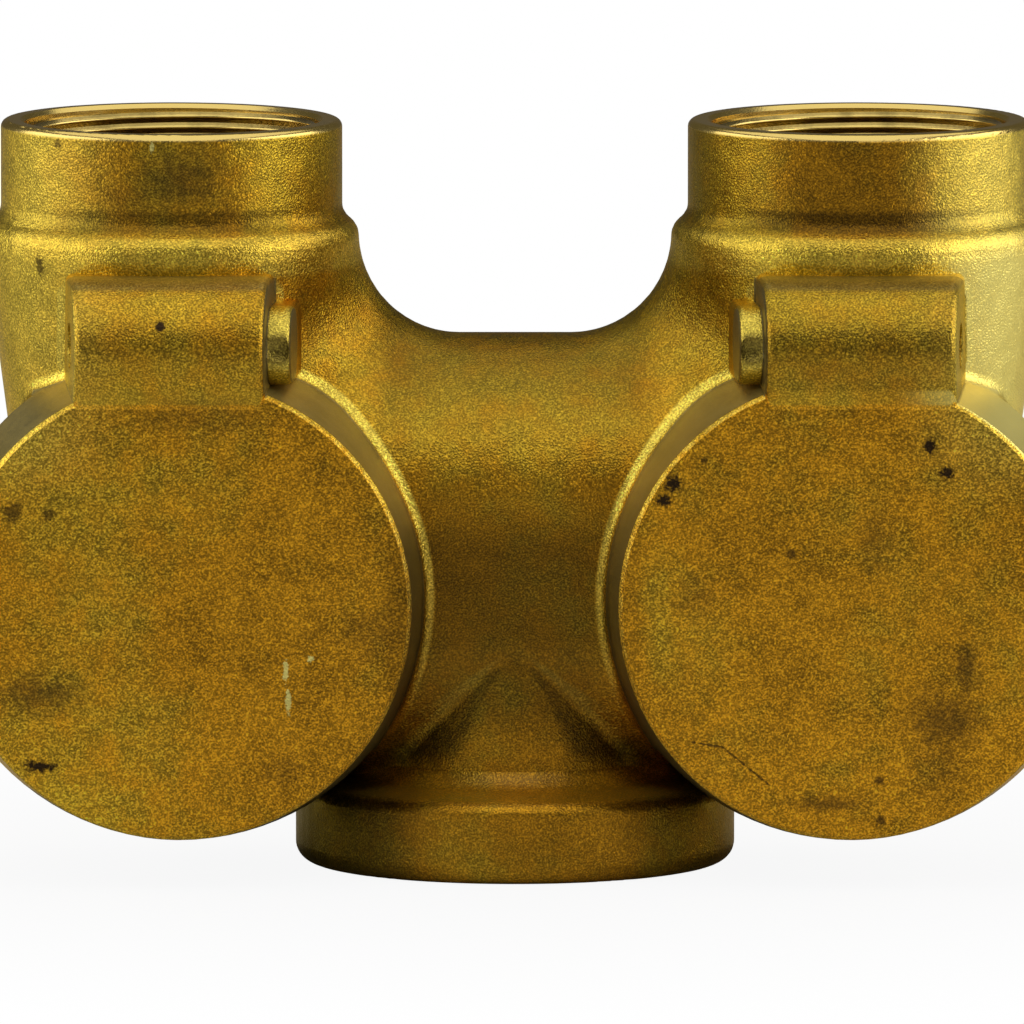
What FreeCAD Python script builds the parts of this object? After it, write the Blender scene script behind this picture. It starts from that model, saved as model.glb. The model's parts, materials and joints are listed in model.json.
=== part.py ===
import FreeCAD, Part
import math
import os

from FreeCAD import Vector

# Two-way fire inlet body in cast brass, with a drop clapper in each inlet.
# Millimetres, +Z up. X runs along the pair of inlets and -Y is the front, with the round chamber faces.
# The origin is the centre of the outlet ring's bottom face, on which the body stands.

# Whole casting
inlet_spacing = 203.2            # between the two inlet axes, 8 in
body_height = 220.7              # outlet face to inlet rims
casting_wall = 6.5

# Inlet sockets, necks and the wells below them
socket_diameter = 101.0
socket_length = 27.5             # rim down to the collar
socket_edge_radius = 2.2
inlet_thread_diameter = 87.4     # 3 in pipe thread
inlet_thread_length = 30.0
inlet_chamfer = 1.2
collar_diameter = 110.8
collar_drop = 4.5                # height of the sloped step above the collar
collar_height = 5.5
collar_radius = 6.0
collar_under_radius = 8.0
neck_draft = 7.5                 # degrees, the necks narrow downwards
neck_blend_radius = 30.0         # between the necks and the cross tube
well_diameter = 96.0
well_neck_radius = 80.0          # where the neck runs into the well
well_foot_radius = 40.0
well_drop = 2.0                  # underside of the wells below the cross tube's

# Cross tube, flat in front and behind and round above and below
tube_width = 90.0                # front to back
tube_height = 131.5
tube_rise = 1.5                  # underside of the tube above the outlet ring

# Outlet
ring_diameter = 130.0
ring_height = 24.0
ring_foot_radius = 6.0
ring_edge_radius = 4.0
outlet_neck_inset = 0.4          # each side, neck narrower than the cross tube
outlet_neck_drop = 3.0           # height of the slope between ring and neck
outlet_neck_radius = 8.0
outlet_blend_radius = 6.0        # between outlet neck and cross tube
outlet_thread_diameter = 112.6   # 4 in pipe thread
outlet_thread_length = 18.5
outlet_chamfer = 1.5

# Clapper chambers, round drums with their flat faces to the front
chamber_inset = 2.85             # chamber axes nearer the middle than the inlet axes
chamber_drop = 8.0               # chamber axes below the middle of the cross tube
chamber_face_diameter = 136.5
chamber_face_depth = 75.0        # face in front of the inlet axes
chamber_back_depth = 14.0        # rear of the drums in front of the inlet axes
chamber_draft = 7.0              # degrees, the drums widen backwards
chamber_edge = 1.2               # bevel around the face
chamber_shoulder_radius = 20.0
chamber_inner_bevel = 5.0        # inside, behind the face
chamber_inner_shoulder = 8.0     # inside, at the rear of the drums
chamber_blend_radius = 4.0       # between the drums and the tubes

# Hinge barrels above the chamber faces, each with a small boss at its inner end
hinge_setback = 15.0             # hinge axis behind the chamber faces
barrel_radius = 20.0
barrel_length = 55.5             # at the front
barrel_slope = 20.0              # degrees, front of the barrel down to the chamber face
barrel_draft = 5.0               # degrees, the ends widen backwards
barrel_edge_radius = 2.5
lug_back_depth = 28.0            # rear of barrels and bosses, inside the necks
boss_radius = 11.5
boss_length = 7.0                # beyond the barrel's inner end
boss_edge_radius = 2.0
boss_dimple_radius = 7.0
boss_dimple_depth = 1.6

# Hinge pin, its pocket and its plug
pin_diameter = 10.0
pin_edge = 0.8
pin_blind_wall = 7.0             # left in the boss beyond the pin's hole
pin_end_gap = 0.5
pin_fit = 0.02                   # radial, pin in the casting
knuckle_length = 30.0
knuckle_radius = 9.0
knuckle_fit = 0.05               # radial, knuckle on the pin
knuckle_side_gap = 1.0
knuckle_gap = 3.5                # radial, knuckle in its pocket
pocket_seat_gap = 3.5            # between the seat's land and the pocket
pocket_back_radius = 6.0
plug_diameter = 13.6
plug_length = 7.5
plug_recess = 0.8                # below the end of the barrel
plug_edge = 0.6
plug_socket_width = 6.35
plug_socket_depth = 4.5
plug_fit = 0.02                  # radial, plug in its hole

# Seat and clapper
seat_diameter = 67.0
seat_land = 3.5
seat_lip = 3.0                   # how far the seat stands below the chamber's roof
seat_gap = 0.3                   # left between seal and seat when closed
swing_gap = 1.2                  # around the clapper's edge as it swings
clapper_diameter = 79.0
clapper_rise = 16.4              # centre of the hanging clapper above the chamber's axis
clapper_thickness = 6.0
clapper_top = 0.5                # seal side of the plate, behind the hinge axis when hanging
clapper_rim = 1.4                # width of the lip around the seal
clapper_rim_height = 2.5
clapper_edge_radius = 1.0
hub_diameter = 22.0
hub_height = 1.6
hub_edge_radius = 0.8
arm_width = 26.0
arm_flare = 2.0                  # wider at the plate, each side
arm_thickness = 7.5
arm_top = 1.0                    # seal side of the arm, behind the hinge axis when hanging
seal_fit = 0.1                   # radial, seal in the lip
seal_thickness = 4.5
retainer_diameter = 60.0
retainer_thickness = 3.0
retainer_edge = 1.0
screw_diameter = 10.0
screw_fit = 0.02                 # radial, screw in the clapper
screw_clearance = 0.3            # radial, where the screw passes retainer, seal and washer
screw_head_width = 16.0
screw_head_height = 6.4
screw_head_edge = 0.9
washer_diameter = 18.1
washer_thickness = 2.2
washer_split = 1.5

# Worked out from the values above
inlet_x = inlet_spacing / 2
chamber_x = inlet_x - chamber_inset
tube_radius = tube_width / 2
tube_bottom = ring_height + tube_rise
tube_top = tube_bottom + tube_height
tube_middle = (tube_bottom + tube_top) / 2
well_radius = well_diameter / 2
outlet_neck_outer = tube_radius - outlet_neck_inset
hinge_depth = chamber_face_depth - hinge_setback
chamber_height = tube_middle - chamber_drop
hang_height = chamber_height + clapper_rise
hinge_height = hang_height + hinge_depth
collar_top = body_height - socket_length
collar_bottom = collar_top - collar_drop - collar_height
well_top = collar_bottom - (collar_diameter / 2 - well_radius) / math.tan(math.radians(neck_draft))
seal_face = clapper_top + seal_thickness
retainer_face = seal_face + retainer_thickness
washer_face = retainer_face + washer_thickness
clapper_under = clapper_top - clapper_thickness
hub_face = clapper_under - hub_height
seat_height = hinge_height + seal_face + seat_gap
roof_height = seat_height + seat_lip
pocket_radius = knuckle_radius + knuckle_gap
pocket_half = knuckle_length / 2 + knuckle_side_gap
barrel_front = hinge_depth + barrel_radius
barrel_widening = math.tan(math.radians(barrel_draft))
barrel_half = barrel_length / 2 + barrel_radius * barrel_widening
boss_end = inlet_x - barrel_half - boss_length
plug_outer = inlet_x + barrel_half - plug_recess
plug_inner = plug_outer - plug_length
pin_hole_end = boss_end + pin_blind_wall
pin_start = pin_hole_end + pin_end_gap
pin_end = plug_inner - pin_end_gap
arm_foot = hang_height + clapper_diameter / 2 - arm_width / 2
on_both = 0.01                   # how near a point lies to a shape that it counts as part of
past = 1.0                       # cuts run this far past the faces that they open

ORIGIN = Vector(0, 0, 0)
X_AXIS = Vector(1, 0, 0)
Y_AXIS = Vector(0, 1, 0)
Z_AXIS = Vector(0, 0, 1)


def rounded_face(corners, place):
    """Face from corners (a, b) or (a, b, radius), where place turns a and b into a point in space."""
    flat = [Vector(corner[0], corner[1], 0) for corner in corners]
    count = len(corners)
    stretches = []
    for i in range(count):
        corner = flat[i]
        if len(corners[i]) < 3:
            stretches.append((corner, None, corner))
            continue
        radius = corners[i][2]
        back = (flat[i - 1] - corner).normalize()
        ahead = (flat[(i + 1) % count] - corner).normalize()
        half = back.getAngle(ahead) / 2
        run = radius / math.tan(half)
        centre = corner + (back + ahead).normalize() * (radius / math.sin(half))
        middle = centre + (corner - centre).normalize() * radius
        stretches.append((corner + back * run, middle, corner + ahead * run))
    edges = []
    for i in range(count):
        start, middle, end = stretches[i]
        if middle:
            edges.append(Part.Arc(*[place(p.x, p.y) for p in (start, middle, end)]).toShape())
        following = stretches[(i + 1) % count][0]
        if end.distanceToPoint(following) > 1e-6:
            edges.append(Part.LineSegment(place(end.x, end.y), place(following.x, following.y)).toShape())
    return Part.Face(Part.Wire(edges))


def turned_x(corners, y, z):
    """Solid turned about an axis along X through y and z, from (x, radius) corners."""
    face = rounded_face(corners, lambda x, r: Vector(x, y, z + r))
    return face.revolve(Vector(0, y, z), X_AXIS, 360)


def turned_y(corners, x, z):
    """Solid turned about an axis along Y through x and z, from (radius, y) corners."""
    face = rounded_face(corners, lambda r, y: Vector(x + r, y, z))
    return face.revolve(Vector(x, 0, z), Y_AXIS, 360)


def turned_z(corners, x=0.0):
    """Solid turned about a vertical axis at x, from (radius, height) corners."""
    face = rounded_face(corners, lambda r, z: Vector(x + r, 0, z))
    return face.revolve(Vector(x, 0, 0), Z_AXIS, 360)


def side_section(corners, x_from, x_to):
    """Solid with a (y, z) section that runs along X."""
    face = rounded_face(corners, lambda y, z: Vector(x_from, y, z))
    return face.extrude(Vector(x_to - x_from, 0, 0))


def plan_section(corners, z_from, z_to):
    """Solid with an (x, y) plan that runs up Z."""
    face = rounded_face(corners, lambda x, y: Vector(x, y, z_from))
    return face.extrude(Vector(0, 0, z_to - z_from))


def mirrored(shape):
    """The same shape on the left side."""
    return shape.mirror(ORIGIN, X_AXIS)


def lies_on(point, shape):
    return Part.Vertex(point).distToShape(shape)[0] < on_both


def meeting_edges(joined, first, second):
    """Edges of the joined solid along which the surfaces of two shapes meet."""
    first_skin = first.Shells[0]
    second_skin = second.Shells[0]
    found = []
    for edge in joined.Edges:
        if edge.Degenerated or len(joined.ancestorsOfType(edge, Part.Face)) < 2:
            continue
        points = edge.discretize(7)[1:-1]
        if all(lies_on(p, first_skin) and lies_on(p, second_skin) for p in points):
            found.append(edge)
    return found


def blended(first, second, radius):
    """Two solids joined, with a round blend where they meet."""
    joined = first.fuse(second)
    return joined.makeFillet(radius, meeting_edges(joined, first, second)).Solids[0]


def neck_radius(height):
    """Outer radius of an inlet neck, which narrows below the collar."""
    fall = math.tan(math.radians(neck_draft))
    return collar_diameter / 2 - (collar_bottom - height) * fall


def chamber_radius(depth):
    """Outer radius of a chamber drum at a depth in front of the inlet axes."""
    widening = math.tan(math.radians(chamber_draft))
    return chamber_face_diameter / 2 + (chamber_face_depth - depth) * widening


def cross_tube(inset):
    """Tube between the inlet axes, with all its sides moved in by the inset."""
    half = tube_radius - inset
    bottom = tube_bottom + inset
    top = tube_top - inset
    return side_section([
        (-half, bottom, half),
        (half, bottom, half),
        (half, top, half),
        (-half, top, half),
    ], -inlet_x, inlet_x)


def inlet_outside():
    """Right socket, collar and narrowing neck, and the well that ends them below."""
    socket = socket_diameter / 2
    collar = collar_diameter / 2
    bottom = tube_bottom - well_drop
    return turned_z([
        (0, bottom),
        (well_radius, bottom, well_foot_radius),
        (well_radius, well_top, well_neck_radius),
        (collar, collar_bottom, collar_under_radius),
        (collar, collar_top - collar_drop, collar_radius),
        (socket, collar_top, collar_radius),
        (socket, body_height, socket_edge_radius),
        (0, body_height),
    ], inlet_x)


def outlet_neck():
    """Plain neck between outlet ring and cross tube."""
    return turned_z([
        (0, 0),
        (outlet_neck_outer, 0),
        (outlet_neck_outer, tube_middle),
        (0, tube_middle),
    ])


def outlet_ring():
    """Ring with a rounded foot, whose top slopes up into the outlet neck."""
    ring = ring_diameter / 2
    root = outlet_neck_outer - outlet_neck_inset
    return turned_z([
        (0, 0),
        (ring, 0, ring_foot_radius),
        (ring, ring_height, ring_edge_radius),
        (root, ring_height + outlet_neck_drop, outlet_neck_radius),
        (root, tube_middle),
        (0, tube_middle),
    ])


def chamber_outside():
    """Right drum with a flat front face, drafted wall and rounded shoulder."""
    bevelled = chamber_face_depth - chamber_edge
    return turned_y([
        (0, -chamber_face_depth),
        (chamber_face_diameter / 2 - chamber_edge, -chamber_face_depth),
        (chamber_radius(bevelled), -bevelled),
        (chamber_radius(chamber_back_depth), -chamber_back_depth, chamber_shoulder_radius),
        (0, -chamber_back_depth),
    ], chamber_x, chamber_height)


def end_edges(shape, x_test):
    """Edges of a drafted end, except those that will lie inside the casting."""
    found = []
    for edge in shape.Edges:
        box = edge.BoundBox
        if x_test(box) and box.YMin < -hinge_depth + on_both:
            found.append(edge)
    return found


def barrel_outside():
    """Right hinge barrel: round in front, sloping down to the chamber face, with drafted ends."""
    top = hinge_height + barrel_radius
    slope = math.radians(barrel_slope)
    corner = hinge_depth + barrel_radius * math.tan((math.pi / 2 + slope) / 2)
    foot_depth = chamber_face_depth - casting_wall / 2
    foot = top - (corner - foot_depth) / math.tan(slope)
    back = lug_back_depth
    back_half = barrel_length / 2 + (barrel_front - back) * barrel_widening
    section = side_section([
        (-back, top),
        (-corner, top, barrel_radius),
        (-foot_depth, foot),
        (-back, foot),
    ], inlet_x - back_half, inlet_x + back_half)
    front_half = barrel_length / 2 - past * barrel_widening
    plan = plan_section([
        (inlet_x - front_half, -barrel_front - past),
        (inlet_x + front_half, -barrel_front - past),
        (inlet_x + back_half, -back),
        (inlet_x - back_half, -back),
    ], foot, top)
    barrel = section.common(plan)
    edges = end_edges(barrel, lambda box: abs((box.XMin + box.XMax) / 2 - inlet_x) > on_both)
    return barrel.makeFillet(barrel_edge_radius, edges)


def boss_outside():
    """Small dimpled boss at the inner end of the right hinge barrel, over the blind end of the pin."""
    top = hinge_height + boss_radius
    bottom = hinge_height - boss_radius
    front = hinge_depth + boss_radius
    back = lug_back_depth
    inside = boss_end + boss_length + barrel_edge_radius
    section = side_section([
        (-back, top),
        (-front, top, boss_radius),
        (-front, bottom, boss_radius),
        (-back, bottom),
    ], boss_end - (hinge_depth - back) * barrel_widening, inside)
    plan = plan_section([
        (boss_end + (boss_radius + past) * barrel_widening, -front - past),
        (inside, -front - past),
        (inside, -back),
        (boss_end - (hinge_depth - back) * barrel_widening, -back),
    ], bottom, top)
    boss = section.common(plan)
    edges = end_edges(boss, lambda box: box.XMax < boss_end + boss_length / 2)
    dimple_x = (boss_end + inlet_x - barrel_length / 2) / 2
    dimple_y = -front - boss_dimple_radius + boss_dimple_depth
    dimple = Part.makeSphere(boss_dimple_radius, Vector(dimple_x, dimple_y, hinge_height))
    return boss.makeFillet(boss_edge_radius, edges).cut(dimple)


def casting_outside():
    """The casting before its hollows are cut."""
    tube = cross_tube(0)
    shape = tube
    for part, radius in ((inlet_outside(), neck_blend_radius), (chamber_outside(), chamber_blend_radius)):
        shape = blended(shape, part, radius)
        shape = blended(shape, mirrored(part), radius)
    outlet = blended(tube, outlet_neck(), outlet_blend_radius)
    lugs = [barrel_outside(), boss_outside()]
    return shape.fuse([outlet, outlet_ring()] + lugs + [mirrored(lug) for lug in lugs])


def inlet_hollow():
    """Right threaded mouth, throat, seat and the inside of neck and well."""
    thread = inlet_thread_diameter / 2
    thread_end = body_height - inlet_thread_length
    seat = seat_diameter / 2
    well = well_radius - casting_wall
    bottom = tube_bottom - well_drop + casting_wall
    return turned_z([
        (0, body_height + past),
        (thread + inlet_chamfer + past, body_height + past),
        (thread, body_height - inlet_chamfer),
        (thread, thread_end),
        (seat, roof_height + seat_lip),
        (seat, seat_height),
        (seat + seat_land, seat_height),
        (seat + seat_land, roof_height),
        (neck_radius(roof_height) - casting_wall, roof_height),
        (well, well_top),
        (well, bottom, well_foot_radius - casting_wall),
        (0, bottom),
    ], inlet_x)


def outlet_hollow():
    """Threaded mouth and passage of the outlet."""
    thread = outlet_thread_diameter / 2
    passage = outlet_neck_outer - casting_wall
    return turned_z([
        (0, -past),
        (thread + outlet_chamfer + past, -past),
        (thread, outlet_chamfer),
        (thread, outlet_thread_length),
        (passage, outlet_thread_length + outlet_neck_drop),
        (passage, tube_middle),
        (0, tube_middle),
    ])


def chamber_hollow():
    """Inside of the right drum, one wall in from its outside."""
    front = chamber_face_depth - casting_wall
    bevelled = front - chamber_inner_bevel
    back = chamber_back_depth + casting_wall
    shoulder = back + chamber_inner_shoulder
    return turned_y([
        (0, -front),
        (chamber_radius(bevelled) - casting_wall - chamber_inner_bevel, -front),
        (chamber_radius(bevelled) - casting_wall, -bevelled),
        (chamber_radius(shoulder) - casting_wall, -shoulder),
        (chamber_radius(shoulder) - casting_wall - chamber_inner_shoulder, -back),
        (0, -back),
    ], chamber_x, chamber_height)


def swing_hollow():
    """Room for the edge of the right clapper as it swings from hanging to closed."""
    centre = Vector(inlet_x, -hinge_depth, hang_height)
    outline = Part.Face(Part.Wire(Part.makeCircle(clapper_diameter / 2 + swing_gap, centre, Y_AXIS)))
    return outline.revolve(Vector(inlet_x, -hinge_depth, hinge_height), X_AXIS, 90)


def hinge_pocket():
    """Room for the right clapper's knuckle and arm, from the barrel into the chamber."""
    top = hinge_height + pocket_radius
    slope = math.radians(barrel_slope)
    corner = hinge_depth + pocket_radius * math.tan((math.pi / 2 + slope) / 2)
    front = chamber_face_depth - casting_wall
    foot = top - (corner - front) / math.tan(slope)
    behind = hinge_depth - pocket_radius
    below_seat = seat_height - seat_lip
    chamber_side = seat_diameter / 2 + seat_land + pocket_seat_gap
    return side_section([
        (-behind, top, pocket_back_radius),
        (-corner, top, pocket_radius),
        (-front, foot),
        (-front, arm_foot),
        (-chamber_side, arm_foot),
        (-chamber_side, below_seat),
        (-behind, below_seat),
    ], inlet_x - pocket_half, inlet_x + pocket_half)


def pin_hole():
    """Stepped hole for the right hinge pin and the plug that closes it."""
    pin = pin_diameter / 2 + pin_fit
    plug = plug_diameter / 2 + plug_fit
    outside = inlet_x + barrel_length
    return turned_x([
        (pin_hole_end, 0),
        (pin_hole_end, pin),
        (plug_inner, pin),
        (plug_inner, plug),
        (outside, plug),
        (outside, 0),
    ], -hinge_depth, hinge_height)


def body_casting():
    right = [inlet_hollow(), chamber_hollow(), swing_hollow(), hinge_pocket(), pin_hole()]
    hollows = [cross_tube(casting_wall), outlet_hollow()] + right + [mirrored(cut) for cut in right]
    casting = casting_outside().cut(hollows)
    return max(casting.Solids, key=lambda solid: solid.Volume)


def disc(x, corners):
    """Round piece on a hanging clapper's own axis, from (radius, distance behind the hinge axis) corners."""
    return turned_y([(c[0], c[1] - hinge_depth) + tuple(c[2:]) for c in corners], x, hang_height)


def ring(x, inner, outer, start, end, edge=0.0):
    """Flat ring on a hanging clapper's axis, with its rear outer edge bevelled."""
    corners = [(inner, start), (outer, start), (outer, end - edge), (inner, end)]
    if edge:
        corners.insert(3, (outer - edge, end))
    return disc(x, corners)


def clapper(x):
    """Cast disc with a lip for the seal, an arm and a knuckle, hanging open on its pin."""
    outer = clapper_diameter / 2
    lip = outer - clapper_rim
    rim_face = clapper_top + clapper_rim_height
    hub = hub_diameter / 2
    plate = disc(x, [
        (0, hub_face),
        (hub, hub_face, hub_edge_radius),
        (hub, clapper_under),
        (outer, clapper_under, clapper_edge_radius),
        (outer, rim_face),
        (lip, rim_face),
        (lip, clapper_top),
        (0, clapper_top),
    ])
    arm_front = arm_top - arm_thickness - hinge_depth
    arm = rounded_face([
        (x - arm_width / 2, hinge_height),
        (x + arm_width / 2, hinge_height),
        (x + arm_width / 2 + arm_flare, arm_foot),
        (x - arm_width / 2 - arm_flare, arm_foot),
    ], lambda a, b: Vector(a, arm_front, b)).extrude(Y_AXIS * arm_thickness)
    above_seal = disc(x, [(0, clapper_top), (lip, clapper_top), (lip, arm_top + past), (0, arm_top + past)])
    half = knuckle_length / 2
    knuckle = turned_x([
        (x - half, 0),
        (x - half, knuckle_radius, clapper_edge_radius),
        (x + half, knuckle_radius, clapper_edge_radius),
        (x + half, 0),
    ], -hinge_depth, hinge_height)
    bore = turned_x([
        (x - knuckle_length, 0),
        (x - knuckle_length, pin_diameter / 2 + knuckle_fit),
        (x + knuckle_length, pin_diameter / 2 + knuckle_fit),
        (x + knuckle_length, 0),
    ], -hinge_depth, hinge_height)
    tapped = ring(x, 0, screw_diameter / 2 + screw_fit, hub_face - past, clapper_top + past)
    return plate.fuse([arm.cut(above_seal), knuckle]).cut([bore, tapped]).Solids[0]


def clapper_seal(x):
    hole = screw_diameter / 2 + screw_clearance
    return ring(x, hole, clapper_diameter / 2 - clapper_rim - seal_fit, clapper_top, seal_face)


def seal_retainer(x):
    hole = screw_diameter / 2 + screw_clearance
    return ring(x, hole, retainer_diameter / 2, seal_face, retainer_face, retainer_edge)


def lock_washer(x):
    """Split spring washer, flattened under the screw head."""
    hole = screw_diameter / 2 + screw_clearance
    whole = ring(x, hole, washer_diameter / 2, retainer_face, washer_face)
    gap = Part.makeBox(washer_split, washer_thickness, washer_diameter)
    gap.translate(Vector(x - washer_split / 2, retainer_face - hinge_depth, hang_height))
    return whole.cut(gap).Solids[0]


def hexagon(width, centre_a, centre_b):
    """Corners of a hexagon with the given width across flats."""
    radius = width / math.sqrt(3)
    turns = [math.radians(60 * i) for i in range(6)]
    return [(centre_a + radius * math.cos(t), centre_b + radius * math.sin(t)) for t in turns]


def retainer_screw(x):
    """Hex head screw through retainer and seal into the clapper."""
    shank = ring(x, 0, screw_diameter / 2, hub_face, washer_face + screw_head_height / 2)
    head_start = washer_face - hinge_depth
    flats = rounded_face(hexagon(screw_head_width, x, hang_height), lambda a, b: Vector(a, head_start, b))
    corner = screw_head_width / math.sqrt(3)
    bevel = ring(x, 0, corner, washer_face, washer_face + screw_head_height, screw_head_edge)
    return shank.fuse(flats.extrude(Y_AXIS * screw_head_height).common(bevel)).Solids[0]


def hinge_pin():
    radius = pin_diameter / 2
    return turned_x([
        (pin_start, 0),
        (pin_start, radius - pin_edge),
        (pin_start + pin_edge, radius),
        (pin_end - pin_edge, radius),
        (pin_end, radius - pin_edge),
        (pin_end, 0),
    ], -hinge_depth, hinge_height)


def pin_plug():
    """Plug with a hex socket in its outer end."""
    radius = plug_diameter / 2
    blank = turned_x([
        (plug_inner, 0),
        (plug_inner, radius),
        (plug_outer - plug_edge, radius),
        (plug_outer, radius - plug_edge),
        (plug_outer, 0),
    ], -hinge_depth, hinge_height)
    floor = plug_outer - plug_socket_depth
    socket = rounded_face(
        hexagon(plug_socket_width, -hinge_depth, hinge_height), lambda a, b: Vector(floor, a, b))
    return blank.cut(socket.extrude(X_AXIS * (plug_socket_depth + past))).Solids[0]


def all_parts():
    parts = {"body_casting": body_casting()}
    for side, x in (("left", -inlet_x), ("right", inlet_x)):
        for make in (clapper, clapper_seal, seal_retainer, lock_washer, retainer_screw):
            parts[side + "_" + make.__name__] = make(x)
    for make in (hinge_pin, pin_plug):
        parts["right_" + make.__name__] = make()
        parts["left_" + make.__name__] = mirrored(make())
    return parts


def main():
    os.makedirs("parts", exist_ok=True)
    for name, shape in all_parts().items():
        shape.exportStep("parts/" + name + ".step")


if __name__ == "__main__":
    main()
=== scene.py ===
import json
import math
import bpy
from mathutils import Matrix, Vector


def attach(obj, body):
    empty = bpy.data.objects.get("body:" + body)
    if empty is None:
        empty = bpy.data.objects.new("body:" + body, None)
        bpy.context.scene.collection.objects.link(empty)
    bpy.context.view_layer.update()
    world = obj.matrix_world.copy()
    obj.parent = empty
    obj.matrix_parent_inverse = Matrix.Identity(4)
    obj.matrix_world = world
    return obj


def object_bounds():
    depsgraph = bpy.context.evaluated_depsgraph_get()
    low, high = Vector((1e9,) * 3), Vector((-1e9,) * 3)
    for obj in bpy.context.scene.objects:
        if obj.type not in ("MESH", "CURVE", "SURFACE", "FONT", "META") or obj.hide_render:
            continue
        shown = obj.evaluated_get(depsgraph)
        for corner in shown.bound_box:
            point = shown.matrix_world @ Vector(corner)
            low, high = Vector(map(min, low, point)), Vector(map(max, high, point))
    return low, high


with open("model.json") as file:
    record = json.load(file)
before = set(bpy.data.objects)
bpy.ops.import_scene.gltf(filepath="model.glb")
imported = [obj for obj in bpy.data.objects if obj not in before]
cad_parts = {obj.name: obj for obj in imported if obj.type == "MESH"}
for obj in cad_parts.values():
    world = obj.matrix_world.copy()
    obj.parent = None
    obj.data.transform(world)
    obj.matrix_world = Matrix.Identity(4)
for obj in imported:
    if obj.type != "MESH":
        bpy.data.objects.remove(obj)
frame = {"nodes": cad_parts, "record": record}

from types import SimpleNamespace

import bpy
from bpy.props import FloatProperty, FloatVectorProperty, IntProperty, PointerProperty
from bpy.types import Operator, Panel, PropertyGroup
from mathutils import Vector

bl_info = {
    "name": "Fire Inlet Body",
    "version": (1, 0, 0),
    "blender": (4, 5, 0),
    "location": "View3D > Sidebar > Fire Inlet",
    "description": "Finishes a two-way fire inlet body, cuts its pipe threads and sets up the studio",
    "category": "Object",
}

CAD_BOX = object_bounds()
NODES = frame["nodes"]
MOUNTS = {mount["name"]: mount for mount in frame["record"]["mounts"]}
SIDES = ("left", "right")

# Places and sizes on the casting in millimetres, which its material uses as masks.
INLET_X = abs(MOUNTS["left_inlet"]["pos_m"][0]) * 1000
INLET_R = MOUNTS["left_inlet"]["dims"]["r_mm"]
INLET_LENGTH = MOUNTS["left_inlet"]["dims"]["length_mm"]
OUTLET_R = MOUNTS["outlet"]["dims"]["r_mm"]
OUTLET_LENGTH = MOUNTS["outlet"]["dims"]["length_mm"]
HINGE_Y, HINGE_Z = (1000 * c for c in frame["record"]["behaviour"]["joints"][0]["pos_m"][1:])
RIM_Z = CAD_BOX[1].z * 1000
FACE_X, FACE_Y, FACE_Z, FACE_R = 98.75, -75.0, 83.25, 68.25
FACE_DRAFT = math.tan(math.radians(7.0))
WALL_BACK_Y = -30.0
BARREL_R, BARREL_HALF = 20.0, 29.5
BOSS_R, BOSS_END = 11.5, 36.5
LUG_DRAFT = math.tan(math.radians(5.0))
# Centre of a painted shade spot on the front of the right boss; the left one mirrors it.
BOSS_SHADE_CENTRE = (69.5, -76.9, HINGE_Z)
COLLAR_LOW, COLLAR_TOP, COLLAR_R = 178.5, 190.5, 50.7
RIDGE_TOP = 69.0
RING_TOP = 24.0
# Heights over which a socket begins above its collar, and depths over which the front half begins.
SOCKET_FOOT = (188.0, 194.0)
FRONT = (-20.0, -30.0)

# Marks of casting and handling: point and size along x, y and z, in millimetres.
PITS = (
    ((46.3, FACE_Y, 120.5), (2.5, 2.5, 2.5)), ((43.9, FACE_Y, 115.5), (2.1, 2.1, 2.1)),
    ((121.9, FACE_Y, 131.5), (2.1, 2.1, 2.1)), ((127.1, FACE_Y, 123.6), (2.0, 2.0, 2.0)),
    ((-139.8, FACE_Y, 36.9), (4.8, 2.0, 1.6)), ((-104.2, -78.7, 167.5), (1.5, 1.5, 1.5)),
)
FAINT_PITS = (
    ((55.3, FACE_Y, 127.3), (1.1, 1.1, 1.1)), ((81.0, FACE_Y, 99.6), (1.4, 1.4, 1.4)),
    ((107.0, FACE_Y, 32.7), (1.5, 1.5, 1.5)), ((107.5, FACE_Y, 20.9), (1.6, 1.6, 1.6)),
    ((-147.8, FACE_Y, 112.2), (2.8, 2.8, 2.8)), ((-136.7, FACE_Y, 111.3), (1.6, 1.6, 1.6)),
    ((-134.7, -38.1, 217.0), (1.6, 1.6, 1.6)), ((-139.9, -39.5, 181.4), (1.5, 1.5, 2.7)),
)
STAINS = (
    ((132.7, FACE_Y, 66.0), (3.2, 4.0, 6.4)), ((126.5, FACE_Y, 50.5), (9.0, 7.5, 7.5)),
    ((92.5, FACE_Y, 25.9), (9.6, 3.2, 1.9)), ((-139.8, FACE_Y, 58.2), (9.6, 6.0, 4.8)),
    ((-98.6, -50.4, 207.6), (10.4, 6.5, 6.5)),
)
FAINT_STAINS = (
    ((124.0, FACE_Y, 38.0), (7.0, 7.0, 11.2)), ((106.1, FACE_Y, 103.3), (4.2, 6.0, 8.4)),
    ((53.1, FACE_Y, 87.0), (5.0, 5.0, 5.0)), ((-68.5, FACE_Y, 35.1), (4.5, 4.5, 4.5)),
    ((-112.0, -49.0, 202.0), (8.0, 5.0, 4.0)), ((-42.1, FACE_Y, 76.8), (7.0, 7.0, 7.0)),
    ((-91.8, FACE_Y, 140.5), (16.0, 6.0, 5.0)),
)
SCRAPES = (
    ((-67.4, FACE_Y, 65.2), (1.0, 1.7, 3.7)), ((-66.6, FACE_Y, 56.0), (1.0, 1.7, 4.1)),
    ((-60.2, FACE_Y, 68.7), (1.1, 1.1, 1.1)), ((-106.8, -50.2, 217.4), (0.8, 1.1, 1.8)),
)
# Points of a crease in the right face, each an x and a z.
CREASE = ((51.3, 44.2), (61.0, 42.6), (76.4, 30.0))

# Threads, in metres: how far they sink into the bore's wall, and how far they stay from the mouths.
THREAD_SINK = 0.0002
THREAD_FROM_RIM, THREAD_FROM_BASE = 0.0012, 0.0015
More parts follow.
